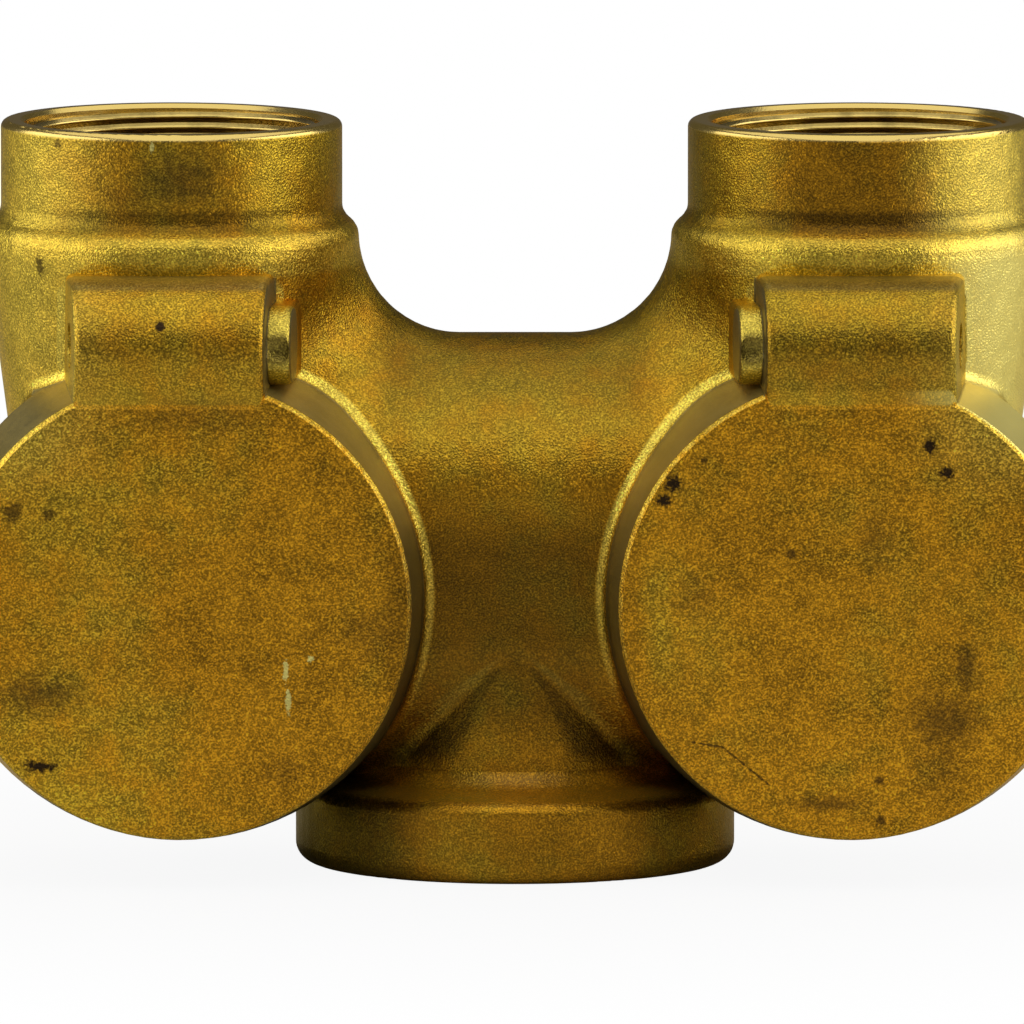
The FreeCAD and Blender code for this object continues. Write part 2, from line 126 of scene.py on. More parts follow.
# Width of a thread at its root and at its crest, in pitches.
THREAD_ROOT, THREAD_CREST = 0.98, 0.16
# Depth of tool marks and other fine relief, in metres.
FINE_RELIEF = 0.00003

# Studio, in metres and watts: each lamp's place, what it faces, its width, height and power.
FLOOR_HALF = 6.0
VIEW_END = 50.0
WORLD_GREY = 0.10
LAMPS = {
    "left_softbox": ((-0.95, -0.08, 0.50), (0, 0, 0.12), 1.3, 0.8, 5.7),
    "right_softbox": ((0.95, -0.08, 0.50), (0, 0, 0.12), 1.3, 0.8, 7.2),
    "top_softbox": ((0.0, -0.55, 1.05), (0, -0.55, 0), 1.4, 2.7, 11.9),
}

# Sockets of a Mix node that mixes colours.
MIX_LOW, MIX_HIGH, MIX_RESULT = 6, 7, 2


class Field:
    """A value in a node tree. Arithmetic on it adds Math nodes."""

    def __init__(self, tree, socket):
        self.tree = tree
        self.socket = socket

    @classmethod
    def node(cls, tree, kind, settings=None, values=None, output=0):
        """Adds a node of any kind: its settings are set first, then its inputs' values or links."""
        made = tree.nodes.new(kind)
        for name, setting in (settings or {}).items():
            setattr(made, name, setting)
        for name, value in (values or {}).items():
            if isinstance(value, Field):
                tree.links.new(value.socket, made.inputs[name])
            else:
                made.inputs[name].default_value = value
        return cls(tree, made.outputs[output])

    def math(self, operation, *others):
        """A Math node's operation on this value and others."""
        values = dict(enumerate((self, *others)))
        return Field.node(self.tree, "ShaderNodeMath", {"operation": operation}, values)

    def vector(self, operation, *others, output=0, **named):
        """A Vector Math node's operation on this vector and others."""
        values = {**dict(enumerate((self, *others))), **named}
        return Field.node(self.tree, "ShaderNodeVectorMath", {"operation": operation}, values, output)

    def __add__(self, other):
        return self.math("ADD", other)

    __radd__ = __add__

    def __mul__(self, other):
        return self.math("MULTIPLY", other)

    __rmul__ = __mul__

    def __sub__(self, other):
        return self.math("SUBTRACT", other)

    def __rsub__(self, other):
        return Field.node(self.tree, "ShaderNodeMath", {"operation": "SUBTRACT"}, {0: other, 1: self})

    def __truediv__(self, other):
        return self.math("DIVIDE", other)

    def __abs__(self):
        return self.math("ABSOLUTE")

    def most(self, other):
        return self.math("MAXIMUM", other)

    def least(self, other):
        return self.math("MINIMUM", other)

    def rises(self, start, end):
        """0 up to start and 1 from end on, smooth between; falls instead if end is less than start."""
        flip = end < start
        low, high = (end, start) if flip else (start, end)
        step = Field.node(
            self.tree, "ShaderNodeMapRange", {"interpolation_type": "SMOOTHSTEP"},
            {"Value": self, "From Min": low, "From Max": high, "To Min": 0.0, "To Max": 1.0})
        return 1 - step if flip else step

    def band(self, low, high, soft):
        """1 where this value lies between two limits and 0 outside, over a soft edge."""
        return self.rises(low - soft, low + soft) * self.rises(high + soft, high - soft)

    def scaled(self, factor):
        """This colour, lighter or darker by a factor."""
        return self.vector("SCALE", Scale=factor)

    def mix(self, low, high):
        """Colour that goes from low to high as this value goes from 0 to 1."""
        low, high = (end if isinstance(end, Field) else (*end, 1.0) for end in (low, high))
        return Field.node(
            self.tree, "ShaderNodeMix", {"data_type": "RGBA", "clamp_factor": True},
            {0: self, MIX_LOW: low, MIX_HIGH: high}, MIX_RESULT)


class Place:
    """Object coordinates of a surface point in millimetres, with noises and distances that read them."""

    def __init__(self, tree):
        self.tree = tree
        self.mm = Field.node(tree, "ShaderNodeTexCoord", output="Object").vector("SCALE", Scale=1000.0)
        split = Field.node(tree, "ShaderNodeSeparateXYZ", values={0: self.mm}).socket.node
        self.x, self.y, self.z = (Field(tree, output) for output in split.outputs)

    def noise(self, size, detail=2.0, roughness=0.5, offset=None):
        """Noise from 0 to 1 with features of about the given size in millimetres."""
        vector = self.mm.vector("ADD", offset) if offset else self.mm
        return Field.node(
            self.tree, "ShaderNodeTexNoise", {"noise_dimensions": "3D"},
            {"Vector": vector, "Scale": 1.0 / size, "Detail": detail, "Roughness": roughness})

    def around(self, first, second, centre):
        """Distance from a line, in the plane of two coordinates."""
        a = first - centre[0]
        b = second - centre[1]
        return (a * a + b * b).math("SQRT")

    def nearness(self, spots):
        """Distance to the nearest of some spots, in units of each spot's own size."""
        nearest = None
        for centre, size in spots:
            scale = tuple(1 / s for s in size)
            shift = tuple(-c / s for c, s in zip(centre, size))
            away = self.mm.vector("MULTIPLY_ADD", scale, shift).vector("LENGTH", output="Value")
            nearest = away if nearest is None else nearest.least(away)
        return nearest

    def crease(self, points, width, ragged):
        """1 on a thin ragged line through points of the chamber faces, each an x and a z."""
        nearest = None
        for (x0, z0), (x1, z1) in zip(points, points[1:]):
            dx, dz = x1 - x0, z1 - z0
            long2 = dx * dx + dz * dz
            along = ((self.x - x0) * (dx / long2) + (self.z - z0) * (dz / long2)).most(0.0).least(1.0)
            away = self.around(self.x - along * dx, self.z - along * dz, (x0, z0))
            nearest = away if nearest is None else nearest.least(away)
        on_face = self.y.rises(FACE_Y + 1.0, FACE_Y + 0.6)
        return (nearest + abs(ragged)).rises(width, width * 0.4) * on_face


def new_material(name):
    """A node material, its tree and its surface shader."""
    made = bpy.data.materials.new(name)
    made.use_nodes = True
    return made, made.node_tree, made.node_tree.nodes["Principled BSDF"]


def feed(tree, shader, **fields):
    """Links fields to a shader's sockets, and sets plain numbers and colours on them."""
    for name, value in fields.items():
        socket = shader.inputs[name.replace("_", " ")]
        if isinstance(value, Field):
            tree.links.new(value.socket, socket)
        else:
            socket.default_value = value


def bump(height, distance, strength=1.0):
    """Surface relief: a height of 1 stands up by the given distance in metres."""
    return Field.node(
        height.tree, "ShaderNodeBump", values={"Strength": strength, "Distance": distance, "Height": height})


def shaded(colour, factor):
    """A plain colour, darker or lighter by a factor."""
    return tuple(c * factor for c in colour)


class CastBrassSettings(PropertyGroup):
    skin: FloatVectorProperty(
        name="Skin", description="Colour of the sand-cast skin", subtype="COLOR",
        size=3, min=0.0, max=1.0, default=(0.52, 0.34, 0.022))
    shade: FloatVectorProperty(
        name="Tarnish", description="Colour of the skin where it is tarnished", subtype="COLOR",
        size=3, min=0.0, max=1.0, default=(0.45, 0.215, 0.008))
    # Also the colour of the painted shade spot on each boss.
    stain_and_shade: FloatVectorProperty(
        name="Stain", description="Colour of burnt-on stains and of dirt in pits", subtype="COLOR",
        size=3, min=0.0, max=1.0, default=(0.050, 0.026, 0.007))
    bright: FloatVectorProperty(
        name="Machined", description="Colour of freshly cut brass", subtype="COLOR",
        size=3, min=0.0, max=1.0, default=(0.74, 0.54, 0.16))
    wall: FloatVectorProperty(
        name="Drafted walls", description="Colour of the smooth walls of chambers and hinge lugs",
        subtype="COLOR", size=3, min=0.0, max=1.0, default=(0.265, 0.205, 0.060))
    # Also the colour of painted highlights on fillets, edges and bosses, and of painted light on the necks'
    # outer sides.
    worn_and_lit: FloatVectorProperty(
        name="Edges", description="Colour of edges and fillets, where the skin is rubbed clean",
        subtype="COLOR", size=3, min=0.0, max=1.0, default=(0.64, 0.49, 0.07))
    # Also the colour of painted light on the right inlet's outer side.
    pale_and_lit: FloatVectorProperty(
        name="Clean skin", description="Colour of scrapes, and of the skin on the clean right side",
        subtype="COLOR", size=3, min=0.0, max=1.0, default=(0.92, 0.79, 0.23))
    coat: FloatProperty(
        name="Oil film", description="Strength of the clear film on the cast skin", subtype="FACTOR",
        min=0.0, max=1.0, default=0.15)
    grain: FloatProperty(
        name="Sand grain", description="Size of the sand grain in the cast skin",
        subtype="DISTANCE", unit="LENGTH", min=0.0001, default=0.00055)
    relief: FloatProperty(
        name="Grain depth", description="Depth of the sand grain",
        subtype="DISTANCE", unit="LENGTH", min=0.0, default=0.00022)
    roughness: FloatProperty(
        name="Roughness", description="Roughness of the cast skin", subtype="FACTOR",
        min=0.0, max=1.0, default=0.36)


class ThreadSettings(PropertyGroup):
    pitch: FloatProperty(
        name="Pitch", description="Distance between turns of the pipe threads",
        subtype="DISTANCE", unit="LENGTH", min=0.0005, default=0.003175)
    depth: FloatProperty(
        name="Depth", description="Height of the threads from root to crest",
        subtype="DISTANCE", unit="LENGTH", min=0.0001, default=0.0016)
    steps: IntProperty(
        name="Steps", description="Points in each turn of a thread", min=16, default=120)


class SmallPartsSettings(PropertyGroup):
    rubber: FloatVectorProperty(
        name="Rubber", description="Colour of the clapper seals", subtype="COLOR",
        size=3, min=0.0, max=1.0, default=(0.018, 0.017, 0.016))
    steel: FloatVectorProperty(
        name="Steel", description="Colour of pins, screws and washers", subtype="COLOR",
        size=3, min=0.0, max=1.0, default=(0.52, 0.51, 0.49))


class StageSettings(PropertyGroup):
    distance: FloatProperty(
        name="Camera distance", description="From the camera to the middle of the body",
        subtype="DISTANCE", unit="LENGTH", default=9.0)
    elevation: FloatProperty(
        name="Camera elevation", description="Camera above the horizon", subtype="ANGLE", unit="ROTATION",
        default=math.radians(6.5))
    view_width: FloatProperty(
        name="View width", description="Width of the picture at the middle of the body",
        subtype="DISTANCE", unit="LENGTH", default=0.3033)
    middle: FloatVectorProperty(
        name="Middle", description="Point that the camera faces", subtype="XYZ", unit="LENGTH",
        size=3, default=(-0.0009, 0.0, 0.1036))
    floor: FloatVectorProperty(
        name="Floor", description="Colour of the floor", subtype="COLOR",
        size=3, min=0.0, max=1.0, default=(0.62, 0.62, 0.62))


class FireInletSettings(PropertyGroup):
    brass: PointerProperty(type=CastBrassSettings)
    threads: PointerProperty(type=ThreadSettings)
    small: PointerProperty(type=SmallPartsSettings)
    stage: PointerProperty(type=StageSettings)


def cast_skin(place, look, tarnish_and_shade=0.0, coarse=1.0, mottled=0.7, layers=()):
    """Colour, roughness and height of sand-cast brass, before the marks of any one piece.

    tarnished adds to the tarnish, coarse is how strongly the sand grain shows, and mottled how
    strongly the patches show. Each of the layers is a mask and the colour that the skin takes there.
    """
    grain = look.grain * 1000
    broad = place.noise(46.0, 1.0, 0.55)
    mottle = place.noise(9.0, 2.0, 0.6, (31.0, 7.0, 11.0))
    crests = abs(place.noise(grain * 2.0, 1.0, 0.6) * 2 - 1)
    sand = place.noise(grain, 0.0, 0.5, (5.0, 17.0, 3.0))
    tarnish = (broad * 0.9 + mottle * 0.7 - 0.36 + tarnish_and_shade).rises(0.2, 0.8)
    colour = tarnish.mix(look.skin, look.shade)
    for mask, tint in layers:
        colour = mask.mix(colour, tint)
    grit = ((crests - 0.2) * 1.3 + (sand - 0.5) * 1.8).most(-0.36) * coarse
    colour = colour.scaled(grit + (mottle - 0.5) * mottled + 1.0)
    roughness = mottle * 0.12 + sand * 0.12 + (look.roughness - 0.12)
    height = (crests + sand) * 0.6 + place.noise(6.0, 0.0) * 1.6
    return colour, roughness, height


def turned_lines(distance, spacing):
    """Fine tool marks, spaced along a distance in millimetres."""
    wave = (distance * (2 * math.pi / spacing)).math("SINE")
    return wave * 0.5 + 0.5


def chamber_masks(place, side, off):
    """Where the chamber drums have their face, its bevel, the drafted wall and the fillet at its foot."""
    drum = place.around(side, place.z, (FACE_X, FACE_Z))
    beyond = drum - (place.y - FACE_Y) * FACE_DRAFT - FACE_R
    # Painted highlight on the bevel and the foot, weaker towards the bottom.
    lit_from_above = place.z.rises(50.0, 120.0) * 0.7 + 0.3
    face = place.y.band(FACE_Y - 0.5, FACE_Y + 0.8, 0.2) * beyond.rises(0.5, 0.0)
    bevel = place.y.band(FACE_Y + 0.15, FACE_Y + 1.1, 0.1) * beyond.band(-1.5, 0.4, 0.1) * lit_from_above
    wall = beyond.band(-0.45, 0.35, 0.1) * place.y.band(FACE_Y + 1.5, WALL_BACK_Y, 0.2)
    wall = wall * off.rises(30.0, -20.0).most(place.z.rises(112.0, 135.0))
    foot = beyond.band(0.4, 3.0, 0.6) * place.y.rises(-58.0, -55.0)
    foot = foot * place.y.rises(WALL_BACK_Y + 6.0, WALL_BACK_Y) * lit_from_above
    return SimpleNamespace(face=face, bevel=bevel, wall=wall, foot=foot)


def hinge_masks(place, side, off, face):
    """Where the hinge barrels and bosses have their sides, their ends and the fillets around them."""
    widening = (place.y - HINGE_Y) * LUG_DRAFT
    hinge = place.around(place.y, place.z, (HINGE_Y, HINGE_Z))
    past_barrel = abs(off) - widening - BARREL_HALF
    past_boss = -1.0 * off - widening - BOSS_END
    inward = off.rises(0.5, -0.5)
    on_neck = place.y.rises(-52.0, -48.0) * place.y.rises(-26.0, -30.0)

    barrel = hinge.rises(BARREL_R + 0.8, BARREL_R + 0.4) * past_barrel.rises(0.6, 0.2)
    barrel_top = barrel * place.z.rises(HINGE_Z + 16.6, HINGE_Z + 18.2)
    barrel_end = past_barrel.band(-0.4, 0.4, 0.1) * place.z.band(136.0, 178.0, 1.0)
    barrel_end = barrel_end * place.y.rises(-36.0, -38.0) * (1 - face)
    barrel_foot = past_barrel.band(0.4, 2.4, 0.4) * hinge.rises(BARREL_R + 4.0, BARREL_R + 2.0) * on_neck
    boss_end = past_boss.band(-0.4, 0.4, 0.1) * hinge.rises(BOSS_R + 0.2, BOSS_R - 0.2)
    boss_foot = past_boss.band(0.4, 2.4, 0.4) * hinge.rises(BOSS_R + 4.0, BOSS_R + 2.0) * on_neck
    boss = hinge.rises(BOSS_R + 0.6, BOSS_R + 0.2) * past_barrel.rises(0.3, 0.7) * inward * (1 - boss_end)
    mirrored = Field.node(place.tree, "ShaderNodeCombineXYZ", values={0: side, 1: place.y, 2: place.z})
    # A painted shade spot on the front of each boss.
    boss_shade = mirrored.vector("DISTANCE", BOSS_SHADE_CENTRE, output="Value").rises(9.0, 6.3) * boss
    return SimpleNamespace(
        barrel=barrel, top=barrel_top, inner_end=barrel_end * inward, outer_end=barrel_end * (1 - inward),
        boss=boss, boss_end=boss_end, fillets=barrel_foot.most(boss_foot), boss_shade=boss_shade)


def with_marks(place, look, colour, small, large):
    """A colour with the casting's stains, pits, crease and scrapes on it, made ragged by two noises."""
    ragged = small + large * 0.35
    stains = (place.nearness(STAINS) + large).rises(1.85, 0.15) * 0.6
    stains = stains.most((place.nearness(FAINT_STAINS) + large).rises(1.85, 0.15) * 0.3)
    pits = (place.nearness(PITS) + ragged).rises(1.4, 0.5)
    pits = pits.most((place.nearness(FAINT_PITS) + ragged).rises(1.4, 0.5) * 0.75)
    crease = place.crease(CREASE, 0.6, large)
    scrapes = (place.nearness(SCRAPES) + small).rises(1.0, 0.6)
    colour = stains.mix(colour, look.stain_and_shade)
    colour = pits.most(crease * 0.8).mix(colour, shaded(look.stain_and_shade, 0.75))
    return scrapes.mix(colour, look.pale_and_lit)


def cut_places(place, inlet):
    """Where the casting is machined: inlet mouths with their rims, and the outlet's bore."""
    mouth_low = RIM_Z - INLET_LENGTH - 2.6
    bore_top = OUTLET_LENGTH + 2.6
    outlet = place.around(place.x, place.y, (0.0, 0.0))
    mouth = inlet.rises(INLET_R + 1.7, INLET_R + 1.4) * place.z.rises(mouth_low, mouth_low + 0.4)
    rim = place.z.rises(RIM_Z - 2.2, RIM_Z - 1.2)
    bore = outlet.rises(OUTLET_R + 2.6, OUTLET_R + 2.2) * place.z.rises(bore_top, bore_top - 0.4)
    return mouth.most(rim).most(bore)


def casting_material(look):
    """Sand-cast skin with smooth drafted walls, cut mouths and the marks that the casting carries.

    In the masks, the two numbers of a rise are where it starts and where it is full, in millimetres.
    """
    made, tree, shader = new_material("cast_brass")
    place = Place(tree)
    side = abs(place.x)
    off = side - INLET_X
    right = place.x.rises(-1.0, 1.0)
    front = place.y.rises(*FRONT)
    socket = place.z.rises(*SOCKET_FOOT)
    inlet = place.around(side, place.y, (INLET_X, 0.0))
    small = (place.noise(0.9, 1.0, 0.6) - 0.5) * 1.6
    large = (place.noise(3.6, 2.0, 0.65) - 0.5) * 2.4
    drum = chamber_masks(place, side, off)
    lug = hinge_masks(place, side, off, drum.face)
    smooth = drum.wall.most(lug.inner_end).most(lug.boss_end).most(lug.top * 0.5)

    # Lighter yellow, partly rubbed bare skin and partly painted highlight: fillets, edges, bosses, collars
    # and the ridges below the tube, and painted light on the necks' outer sides.
    collar = place.z.band(COLLAR_LOW, COLLAR_TOP, 1.2) * inlet.rises(COLLAR_R, COLLAR_R + 0.5)
    outer = off.rises(8.0, 48.0) * place.z.rises(110.0, 140.0)
    below_tube = front * place.z.band(34.0, 64.0, 3.0)
    spread = side / (RIDGE_TOP - place.z).most(1.0)
    ridge = spread.band(1.05, 1.4, 0.12) * below_tube
    worn_and_lit = (drum.foot.most(lug.fillets).most(lug.outer_end) * 0.75).most(lug.boss * 0.9)
    worn_and_lit = worn_and_lit.most(drum.bevel * large.rises(-0.5, 0.4) * 0.5).most(collar * 0.4)
    worn_and_lit = worn_and_lit.most(outer * 0.55).most(ridge * 0.25)

    # Painted shade, darker: the tube's front and top, inner sides of necks and sockets, the outlet ring, the
    # hollows above it, the sockets' feet, and lightly the barrels and the right socket.
    middle = side.rises(42.0, 32.0) * place.y.rises(-30.0, -36.0) * place.z.rises(140.0, 110.0)
    recess = middle * place.z.band(44.0, 104.0, 9.0) * (1 - drum.foot)
    recess = recess * (1 - place.x.rises(18.0, 34.0) * 0.8)
    saddle = side.rises(46.0, 34.0) * place.z.rises(122.0, 152.0)
    inner = off.rises(-34.0, -50.0) * place.z.rises(150.0, 165.0)
    inner = inner * (socket * 0.42).most(right * 0.35).most(0.08)
    ring = place.x.rises(-18.0, -42.0).most(place.x.rises(18.0, 45.0) * 0.5) + side.rises(52.0, 64.0) * 0.5
    ring = ring * place.z.rises(RING_TOP + 6.0, RING_TOP) * place.y.rises(-72.0, -67.0)
    wedge = spread.band(0.5, 1.0, 0.15) * below_tube
    undercut = place.z.band(COLLAR_TOP + 1.0, 198.0, 1.2) * abs(off).rises(44.0, 24.0) * front
    painted_shade = (recess * 0.5).most(saddle * 0.5).most(inner).most(ring * 0.6).most(wedge * 0.65)
    painted_shade = painted_shade.most(undercut * 0.5).most(lug.barrel * (right * 0.20 + 0.02))
    painted_shade = painted_shade + right * off.rises(36.0, 16.0) * socket * 0.18

    # Painted light, lighter: faces (most at their bottom), the tube's upper front, collars, chamber fillets
    # and the necks above the barrels.
    upper_front = side.rises(44.0, 34.0) * place.z.band(114.0, 128.0, 5.0)
    above_barrel = place.z.band(181.5, 188.0, 1.5) * abs(off).rises(40.0, 24.0) * front
    clean_and_lit = drum.face * (place.z.rises(75.0, 20.0) * 0.18 + 0.34) + upper_front * 0.12 + collar * 0.10
    clean_and_lit = clean_and_lit + drum.foot * 0.45 + above_barrel * 0.3

    socket_front = abs(off).rises(30.0, 12.0) * place.y.rises(-30.0, -44.0) * socket
    coarse = 1 - smooth * 0.65 + drum.face * 0.1 + lug.barrel * 0.2
    # More tarnish, darker and more orange, on the faces, the tube's middle and the sockets' fronts; on the
    # tube's middle and the sockets' fronts it is painted shade.
    colour, roughness, height = cast_skin(
        place, look, (drum.face + middle + socket_front) * 0.25, coarse, drum.face * 0.25 + 0.7,
        ((worn_and_lit, look.worn_and_lit), (smooth * 0.9, look.wall)))
    colour = colour.scaled(1 - painted_shade + clean_and_lit)
    # Painted light: the right inlet's outer side is paler, most on the neck below the collar.
    pale_and_lit = outer * right * (place.z.rises(192.0, 180.0) * 0.75 + 0.2) * (1 - lug.barrel.most(drum.face))
    colour = (pale_and_lit * 0.85).mix(colour, look.pale_and_lit)
    # Painted shade on the smooth surfaces: the chamber walls darker towards the bottom, the lug ends and
    # barrel tops darker by half.
    in_shade = (place.z.rises(125.0, 60.0) * 0.6).most((1 - drum.wall) * 0.5)
    colour = colour.scaled(1 - smooth * in_shade)
    # Painted shade: a dark spot on the front of each boss.
    colour = (lug.boss_shade * 0.8).mix(colour, look.stain_and_shade)
    colour = with_marks(place, look, colour, small, large)

    cut = cut_places(place, inlet)
    ledge = place.z.band(RING_TOP, RING_TOP + 7.0, 1.0) * place.y.rises(-30.0, -40.0) * side.rises(60.0, 40.0)
    feed(tree, shader, Base_Color=cut.mix(colour, look.bright), Roughness=roughness * (1 - cut * 0.45),
         Metallic=1 - (smooth * 0.5).most(ledge * 0.6), Specular_Tint=(0.95, 0.80, 0.45, 1.0),
         Coat_Weight=look.coat, Coat_Roughness=0.42,
         Normal=bump(height, look.relief, (coarse * (1 - cut * 0.9)).least(1.0)))
    return made


def clapper_material(look):
    """Cast brass of the clappers, without the body's marks."""
    made, tree, shader = new_material("clapper_brass")
    colour, roughness, height = cast_skin(Place(tree), look)
    feed(tree, shader, Base_Color=colour, Roughness=roughness, Metallic=1.0,
         Normal=bump(height, look.relief))
    return made


def turned_brass_material(name, look):
    """Brass from the lathe, with fine tool marks and light handling wear."""
    made, tree, shader = new_material(name)
    place = Place(tree)
    wear = place.noise(7.0, 4.0, 0.6)
    marks = turned_lines(place.around(place.y, place.z, (HINGE_Y, HINGE_Z)), 0.4)
    colour = wear.rises(0.35, 0.75).mix(look.bright, shaded(look.bright, 0.6))
    feed(tree, shader, Base_Color=colour, Roughness=wear * 0.2 + 0.18, Metallic=1.0,
         Normal=bump(marks * 0.5 + wear * 0.5, FINE_RELIEF))
    return made


def thread_material(look):
    """Freshly cut threads, bright with some darker patches."""
    made, tree, shader = new_material("thread_brass")
    place = Place(tree)
    wear = place.noise(9.0, 3.0, 0.6)
    fine = place.noise(0.8, 2.0, 0.6)
    colour = wear.rises(0.3, 0.8).mix(look.bright, shaded(look.bright, 0.55))
    feed(tree, shader, Base_Color=colour, Roughness=wear * 0.15 + 0.14, Metallic=1.0,
         Normal=bump(fine, FINE_RELIEF))
    return made


def rubber_material(small):
    """Moulded black rubber with a dusty bloom."""
    made, tree, shader = new_material("seal_rubber")
    place = Place(tree)
    bloom = place.noise(6.0, 4.0, 0.65)
    fine = place.noise(0.5, 2.0, 0.6)
    colour = bloom.rises(0.45, 0.8).mix(small.rubber, shaded(small.rubber, 2.4))
    feed(tree, shader, Base_Color=colour, Roughness=bloom * 0.2 + 0.58,
         Normal=bump(fine * 0.5 + bloom * 0.5, 2 * FINE_RELIEF))
    return made


def steel_material(name, small, axis):
    """Stainless steel with tool marks across the given axis, x or y."""
    made, tree, shader = new_material(name)
    place = Place(tree)
    streak = turned_lines(getattr(place, axis), 0.3) * 0.4 + place.noise(1.4, 3.0, 0.6) * 0.6
    wear = place.noise(5.0, 3.0, 0.6)
    colour = wear.rises(0.3, 0.8).mix(small.steel, shaded(small.steel, 0.72))
    feed(tree, shader, Base_Color=colour, Roughness=wear * 0.18 + 0.22, Metallic=1.0,
         Normal=bump(streak, FINE_RELIEF))
    return made


def finish_node(name, material):
    """Gives a CAD node its material."""
    mesh = NODES[name].data
    mesh.materials.clear()
    mesh.materials.append(material)


def thread_tree():
    """Geometry Nodes group for a thread ridge that winds up the inside of a bore.

    Its inputs' identifiers come with it, by name.
    """
    tree = bpy.data.node_groups.new("pipe_thread", "GeometryNodeTree")
    sockets = {}
    for name, kind in (
        ("Radius", "NodeSocketFloat"), ("Turns", "NodeSocketFloat"), ("Height", "NodeSocketFloat"),
        ("Pitch", "NodeSocketFloat"), ("Depth", "NodeSocketFloat"), ("Steps", "NodeSocketInt"),
        ("Place", "NodeSocketVector"), ("Material", "NodeSocketMaterial"),
    ):
        sockets[name] = tree.interface.new_socket(name, in_out="INPUT", socket_type=kind).identifier
    tree.interface.new_socket("Geometry", in_out="OUTPUT", socket_type="NodeSocketGeometry")
    inputs = tree.nodes.new("NodeGroupInput").outputs
    given = {name: Field(tree, inputs[name]) for name in sockets}

    helix = Field.node(tree, "GeometryNodeCurveSpiral", values={
        "Resolution": given["Steps"], "Rotations": given["Turns"], "Start Radius": given["Radius"],
        "End Radius": given["Radius"], "Height": given["Height"]})
    upright = Field.node(tree, "GeometryNodeSetCurveNormal", {"mode": "Z_UP"}, {"Curve": helix})
    section = Field.node(tree, "GeometryNodeCurvePrimitiveQuadrilateral", {"mode": "TRAPEZOID"}, {
        "Height": given["Depth"], "Bottom Width": given["Pitch"] * THREAD_ROOT,
        "Top Width": given["Pitch"] * THREAD_CREST, "Offset": 0.0})
    turned = Field.node(tree, "GeometryNodeTransform", values={
        "Geometry": section, "Rotation": (0.0, 0.0, math.radians(90))})
    ridge = Field.node(tree, "GeometryNodeCurveToMesh", values={
        "Curve": upright, "Profile Curve": turned, "Fill Caps": True})
    placed = Field.node(tree, "GeometryNodeTransform", values={
        "Geometry": ridge, "Translation": given["Place"]})
    real = Field.node(tree, "GeometryNodeRealizeInstances", values={"Geometry": placed})
    coloured = Field.node(tree, "GeometryNodeSetMaterial", values={
        "Geometry": real, "Material": given["Material"]})
    tree.links.new(coloured.socket, tree.nodes.new("NodeGroupOutput").inputs[0])
    return tree, sockets


def from_nodes(name, tree, sockets, values):
    """Runs a Geometry Nodes group with the given inputs and returns a plain mesh object."""
    blank = bpy.data.objects.new(name + "_nodes", bpy.data.meshes.new(name + "_nodes"))
    bpy.context.scene.collection.objects.link(blank)
    modifier = blank.modifiers.new("nodes", "NODES")
    modifier.node_group = tree
    for key, value in values.items():
        modifier[sockets[key]] = value
    graph = bpy.context.evaluated_depsgraph_get()
    mesh = bpy.data.meshes.new_from_object(blank.evaluated_get(graph))
    blank.modifiers.remove(modifier)
    bpy.data.objects.remove(blank)
    made = bpy.data.objects.new(name, mesh)
    bpy.context.scene.collection.objects.link(made)
    return made


class FIREINLET_OT_casting(Operator):
    """Finish the casting in sand-cast brass"""
    bl_idname = "fire_inlet.casting"
    bl_label = "Casting"

    def execute(self, context):
        finish_node("body_casting", casting_material(context.scene.fire_inlet.brass))
        return {"FINISHED"}


class FIREINLET_OT_threads(Operator):
    """Cut the pipe threads of inlets and outlet"""
    bl_idname = "fire_inlet.threads"
    bl_label = "Pipe threads"

    def execute(self, context):
        settings = context.scene.fire_inlet
        threads = settings.threads
        material = thread_material(settings.brass)
        tree, sockets = thread_tree()
        for name in ("left_inlet", "right_inlet", "outlet"):
            mount = MOUNTS[name]
            x, y = mount["pos_m"][:2]
            length = mount["dims"]["length_mm"] / 1000
            radius = mount["dims"]["r_mm"] / 1000
            low = THREAD_FROM_BASE if name == "outlet" else RIM_Z / 1000 - THREAD_FROM_RIM - length
            turns = int((length - threads.pitch) / threads.pitch)
            piece = from_nodes(name + "_thread", tree, sockets, {
                "Radius": radius - threads.depth / 2 + THREAD_SINK,
                "Turns": float(turns),
                "Height": turns * threads.pitch,
                "Pitch": threads.pitch,
                "Depth": threads.depth,
                "Steps": threads.steps,
                "Place": (x, y, low + threads.pitch / 2),
                "Material": material,
            })
            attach(piece, "casting")
        return {"FINISHED"}


class FIREINLET_OT_clappers(Operator):
    """Finish the clappers with their seals, plates and screws"""
    bl_idname = "fire_inlet.clappers"
    bl_label = "Clappers"

    def execute(self, context):
        settings = context.scene.fire_inlet
        clapper = clapper_material(settings.brass)
        rubber = rubber_material(settings.small)
        plate = turned_brass_material("plate_brass", settings.brass)
        fastener = steel_material("fastener_steel", settings.small, "y")
        for side in SIDES:
            finish_node(side + "_clapper", clapper)
            finish_node(side + "_clapper_seal", rubber)
            finish_node(side + "_seal_retainer", plate)
            finish_node(side + "_lock_washer", fastener)
            finish_node(side + "_retainer_screw", fastener)
        return {"FINISHED"}


class FIREINLET_OT_hinges(Operator):
    """Finish the hinge pins and the plugs that close their holes"""
    bl_idname = "fire_inlet.hinges"
    bl_label = "Hinge pins"

    def execute(self, context):
        settings = context.scene.fire_inlet
        pin = steel_material("pin_steel", settings.small, "x")
        plug = turned_brass_material("plug_brass", settings.brass)
        for side in SIDES:
            finish_node(side + "_hinge_pin", pin)
            finish_node(side + "_pin_plug", plug)
        return {"FINISHED"}


